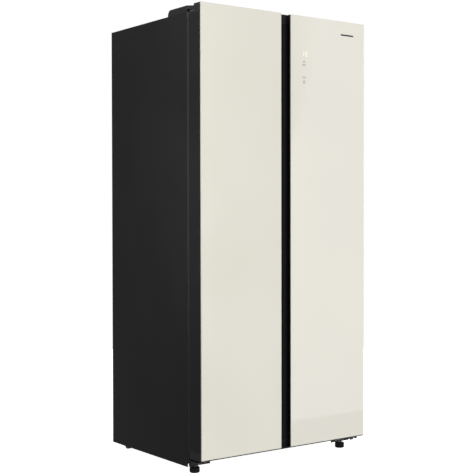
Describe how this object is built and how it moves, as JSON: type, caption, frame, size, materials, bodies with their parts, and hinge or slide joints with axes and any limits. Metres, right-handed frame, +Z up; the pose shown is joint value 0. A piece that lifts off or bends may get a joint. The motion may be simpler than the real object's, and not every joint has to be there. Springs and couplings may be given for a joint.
{
  "type": "side by side refrigerator",
  "caption": "Tall two-door refrigerator with glass fronts, a grip channel between the doors, shelves, drawers, door bins and a cooling system.",
  "frame": {"origin": "on the floor under the middle of the closed object", "axes": "+Z up, the doors face -Y, the freezer at -X and the fridge at +X"},
  "size_m": [0.82, 0.66, 1.77],
  "materials": {
    "black_steel": "satin",
    "plain_steel": "satin",
    "hinge_steel": "satin",
    "insulation": "matte",
    "white_liner": "satin",
    "white_plastic": "satin",
    "black_plastic": "satin",
    "grip_profile": "satin",
    "shelf_glass": "gloss",
    "door_glass": "gloss",
    "clear_plastic": "gloss",
    "seal_rubber": "matte",
    "coil_aluminium": "satin",
    "copper": "satin",
    "board": "satin",
    "lamp": "satin"
  },
  "bodies": {
    "cabinet": {"cabinet_shell": "black_steel", "front_frame": "black_steel", "rear_panel": "plain_steel", "base_frame": "plain_steel", "compressor_plate": "plain_steel", "cabinet_foam": "insulation", "freezer_liner": "white_liner", "fridge_liner": "white_liner", "hinge_cover": "black_plastic", "freezer_top_hinge": "hinge_steel", "fridge_top_hinge": "hinge_steel", "freezer_bottom_hinge": "hinge_steel", "fridge_bottom_hinge": "hinge_steel", "hinge_screws": "hinge_steel", "freezer_shelves": "shelf_glass", "fridge_shelves": "shelf_glass", "crisper_covers": "shelf_glass", "freezer_duct_cover": "white_plastic", "fridge_duct_cover": "white_plastic", "evaporator": "coil_aluminium", "defrost_heater": "coil_aluminium", "evaporator_fan_motor": "black_plastic", "condenser_fan_motor": "black_plastic", "compressor": "black_steel", "compressor_grommets": "seal_rubber", "condenser": "coil_aluminium", "drip_tray": "black_plastic", "filter_drier": "copper", "machine_cover": "plain_steel", "power_inlet": "seal_rubber", "control_board": "board", "interior_lights": "lamp", "roller_axles": "hinge_steel"},
    "freezer_door": {"freezer_door_glass": "door_glass", "freezer_door_side_panel": "black_steel", "freezer_door_end_caps": "black_plastic", "freezer_door_grip": "grip_profile", "freezer_door_foam": "insulation", "freezer_door_liner": "white_liner", "freezer_door_gasket": "seal_rubber", "freezer_door_bins": "clear_plastic"},
    "fridge_door": {"fridge_door_glass": "door_glass", "fridge_door_side_panel": "black_steel", "fridge_door_end_caps": "black_plastic", "fridge_door_grip": "grip_profile", "fridge_door_foam": "insulation", "fridge_door_liner": "white_liner", "fridge_door_gasket": "seal_rubber", "fridge_door_bins": "clear_plastic", "display_board": "board"},
    "freezer_drawer_upper": {"freezer_drawer_upper": "clear_plastic"},
    "freezer_drawer_lower": {"freezer_drawer_lower": "clear_plastic"},
    "crisper_upper": {"crisper_upper": "clear_plastic"},
    "crisper_lower": {"crisper_lower": "clear_plastic"},
    "levelling_foot_left": {"levelling_foot_left": "black_plastic"},
    "levelling_foot_right": {"levelling_foot_right": "black_plastic"},
    "rear_roller_left": {"rear_roller_left": "black_plastic"},
    "rear_roller_right": {"rear_roller_right": "black_plastic"},
    "evaporator_fan_blade": {"evaporator_fan_blade": "white_plastic"},
    "condenser_fan_blade": {"condenser_fan_blade": "black_plastic"}
  },
  "joints": [
    {"name": "freezer_door_swing", "type": "hinge", "parent": "cabinet", "child": "freezer_door", "pos_m": [-0.39, -0.272, 0.9], "axis": [0, 0, -1], "range_deg": [0, 100]},
    {"name": "fridge_door_swing", "type": "hinge", "parent": "cabinet", "child": "fridge_door", "pos_m": [0.39, -0.272, 0.9], "axis": [0, 0, 1], "range_deg": [0, 100]},
    {"name": "freezer_drawer_upper_slide", "type": "slide", "parent": "cabinet", "child": "freezer_drawer_upper", "axis": [0, -1, 0], "range_m": [0, 0.2]},
    {"name": "freezer_drawer_lower_slide", "type": "slide", "parent": "cabinet", "child": "freezer_drawer_lower", "axis": [0, -1, 0], "range_m": [0, 0.12]},
    {"name": "crisper_upper_slide", "type": "slide", "parent": "cabinet", "child": "crisper_upper", "axis": [0, -1, 0], "range_m": [0, 0.2]},
    {"name": "crisper_lower_slide", "type": "slide", "parent": "cabinet", "child": "crisper_lower", "axis": [0, -1, 0], "range_m": [0, 0.12]},
    {"name": "levelling_foot_left_turn", "type": "hinge", "parent": "cabinet", "child": "levelling_foot_left", "pos_m": [-0.37, -0.225, 0.011], "axis": [0, 0, 1], "range_deg": [0, 1440]},
    {"name": "levelling_foot_right_turn", "type": "hinge", "parent": "cabinet", "child": "levelling_foot_right", "pos_m": [0.37, -0.225, 0.011], "axis": [0, 0, 1], "range_deg": [0, 1440]},
    {"name": "rear_roller_left_spin", "type": "hinge", "parent": "cabinet", "child": "rear_roller_left", "pos_m": [-0.36, 0.285, 0.02], "axis": [1, 0, 0], "continuous": true},
    {"name": "rear_roller_right_spin", "type": "hinge", "parent": "cabinet", "child": "rear_roller_right", "pos_m": [0.36, 0.285, 0.02], "axis": [1, 0, 0], "continuous": true},
    {"name": "evaporator_fan_spin", "type": "hinge", "parent": "cabinet", "child": "evaporator_fan_blade", "pos_m": [-0.195, 0.213, 0.8], "axis": [0, -1, 0], "continuous": true},
    {"name": "condenser_fan_spin", "type": "hinge", "parent": "cabinet", "child": "condenser_fan_blade", "pos_m": [0.0095, 0.22, 0.116], "axis": [1, 0, 0], "continuous": true}
  ],
  "couplings": [
    {"joint": "freezer_drawer_upper_slide", "follows": "freezer_door_swing", "m_per_rad": 0.11459},
    {"joint": "freezer_drawer_lower_slide", "follows": "freezer_door_swing", "m_per_rad": 0.06875},
    {"joint": "crisper_upper_slide", "follows": "fridge_door_swing", "m_per_rad": 0.11459},
    {"joint": "crisper_lower_slide", "follows": "fridge_door_swing", "m_per_rad": 0.06875}
  ]
}
